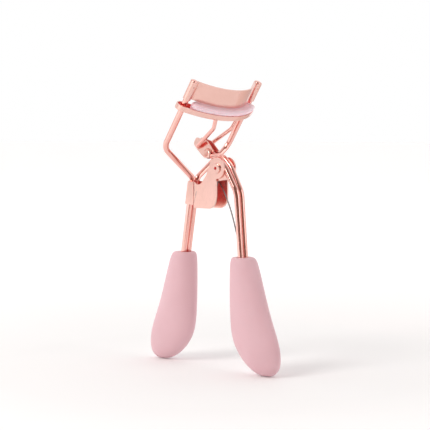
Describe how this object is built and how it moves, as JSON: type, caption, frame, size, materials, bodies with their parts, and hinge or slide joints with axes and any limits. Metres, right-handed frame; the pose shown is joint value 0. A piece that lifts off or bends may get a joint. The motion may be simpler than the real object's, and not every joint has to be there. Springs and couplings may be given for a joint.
{
  "type": "eyelash curler",
  "caption": "Hand eyelash curler: a curved upper jaw fixed on its rails, a padded lower jaw driven by a lever and push link, and soft squeeze handles.",
  "frame": {"origin": "middle of the pair of handles at their lowest points: the bottom centre of the whole tool's box", "axes": "+X along the pivot rivet and the wide direction of the jaws, +Y towards the lever handle and the bulging side of the jaws, +Z from the handles up to the jaws"},
  "size_m": [0.0378, 0.0684, 0.1061],
  "materials": {
    "plated_rod": "bright rose gold plating",
    "plated_sheet": "satin rose gold plating",
    "spring_steel": "drawn wire",
    "pad_silicone": "smooth satin",
    "handle_plastic": "soft matte"
  },
  "bodies": {
    "frame": {"frame_wire_left": "plated_rod", "frame_wire_right": "plated_rod", "frame_bracket": "plated_sheet", "upper_jaw_plate": "plated_sheet", "frame_handle": "handle_plastic", "pivot_rivet": "plated_sheet", "return_spring": "spring_steel"},
    "lever": {"lever_wire_left": "plated_rod", "lever_wire_right": "plated_rod", "lever_knuckle": "plated_sheet", "lever_clevis": "plated_sheet", "lever_handle": "handle_plastic"},
    "lower_jaw": {"lower_jaw_trough": "plated_sheet", "lash_pad": "pad_silicone", "push_link": "plated_rod"}
  },
  "joints": [
    {"name": "lever_pivot", "type": "hinge", "parent": "frame", "child": "lever", "pos_m": [0, 0.0048, 0.0739], "axis": [1, 0, 0], "range_deg": [-0.8, 27], "stiffness_Nm_per_rad": 0.04, "deforming": ["return_spring"]},
    {"name": "jaw_link", "type": "hinge", "parent": "lever", "child": "lower_jaw", "pos_m": [0, -0.0063, 0.08155], "axis": [1, 0, 0], "range_deg": [-24.5, 1]}
  ],
  "couplings": [
    {"joint": "jaw_link", "follows": "lever_pivot", "ratio": -0.87}
  ]
}
